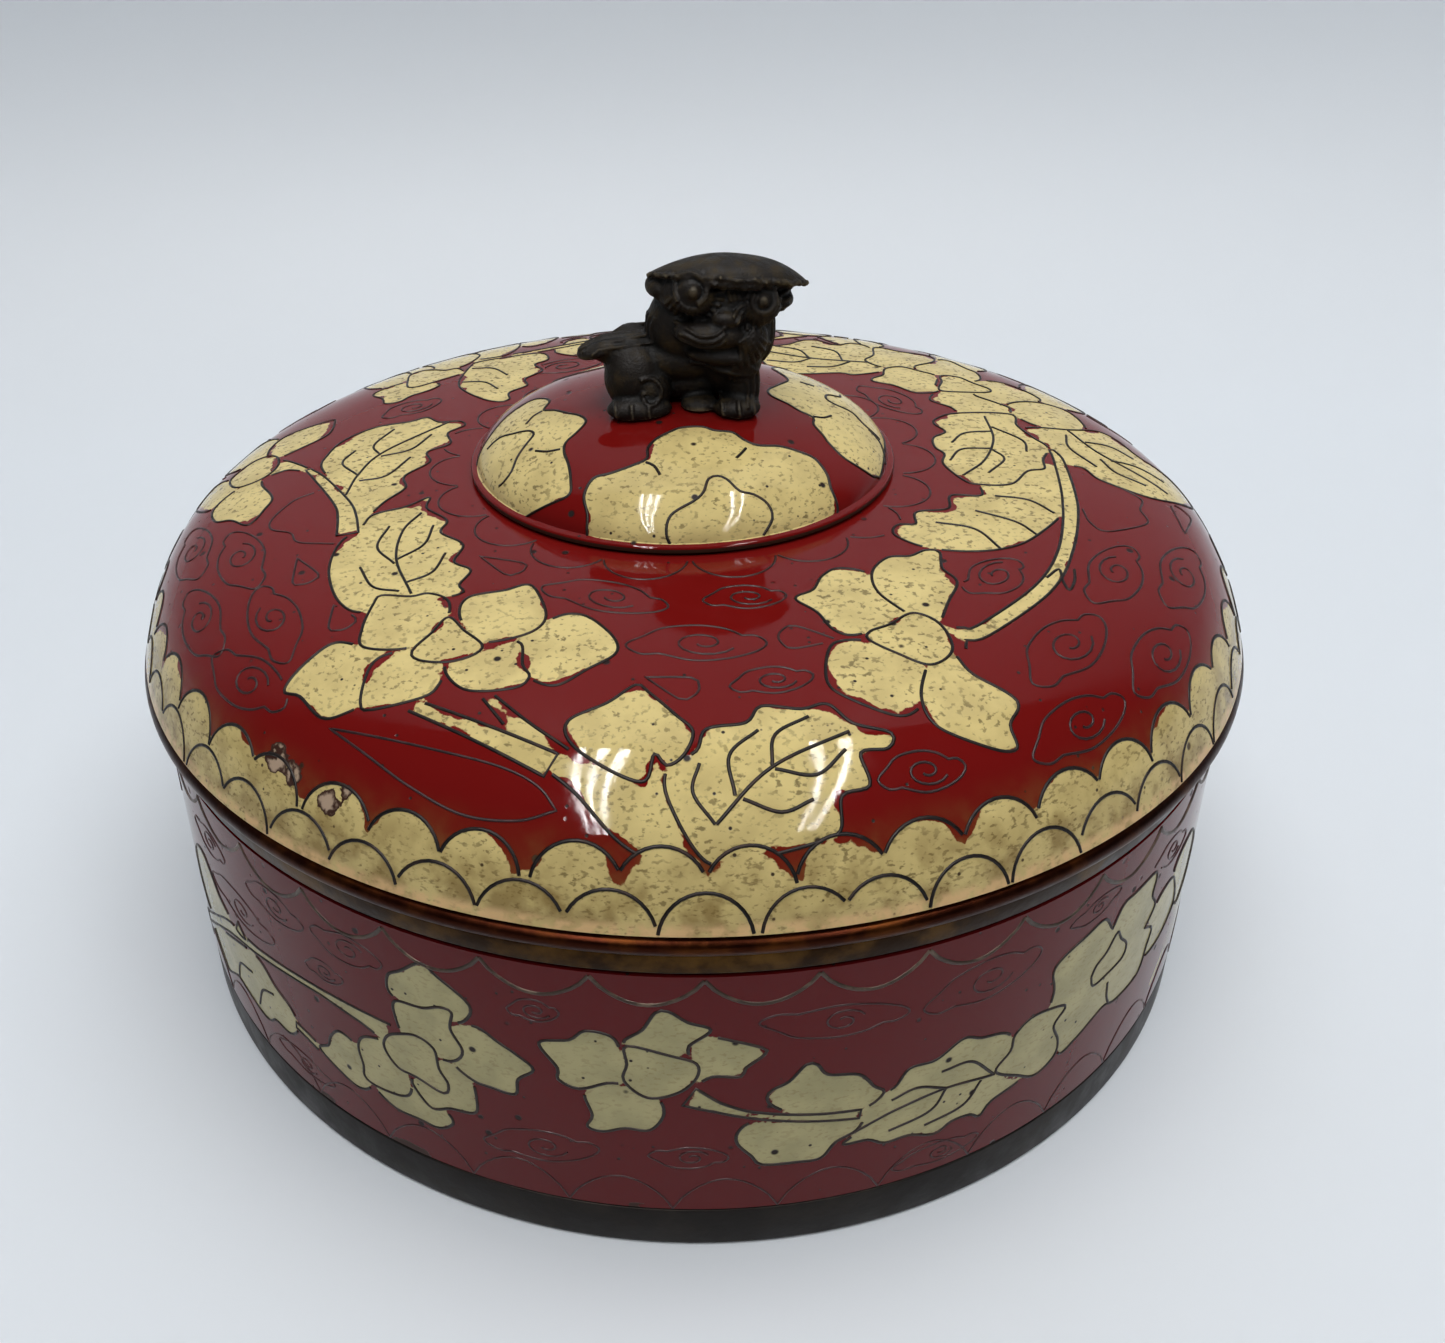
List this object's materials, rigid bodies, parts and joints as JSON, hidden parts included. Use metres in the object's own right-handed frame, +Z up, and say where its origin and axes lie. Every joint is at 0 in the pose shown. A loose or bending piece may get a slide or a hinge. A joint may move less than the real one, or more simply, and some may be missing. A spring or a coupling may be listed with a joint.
{
  "type": "trinket box",
  "caption": "Round enamelled trinket box with flower sprays on red, copper rims, a lift-off domed lid and a small cast lion as its knob.",
  "frame": {"origin": "centre of the foot's underside, on the surface that the box stands on", "axes": "+Z up, the lion's face towards -Y"},
  "size_m": [0.12, 0.12, 0.0764],
  "materials": {
    "red_enamel": "glossy vitreous enamel on copper, iron red with cream flowers and fine wire outlines",
    "aged_copper": "bare copper, worn and darkened",
    "dark_bronze": "cast bronze, nearly black patina with rubbed grey high spots"
  },
  "bodies": {
    "root": {"box_body": "red_enamel", "foot_ring": "aged_copper", "mouth_rim": "aged_copper", "lid_rim": "aged_copper", "lid": "red_enamel", "lid_boss": "red_enamel", "lion_finial": "dark_bronze"}
  },
  "joints": []
}
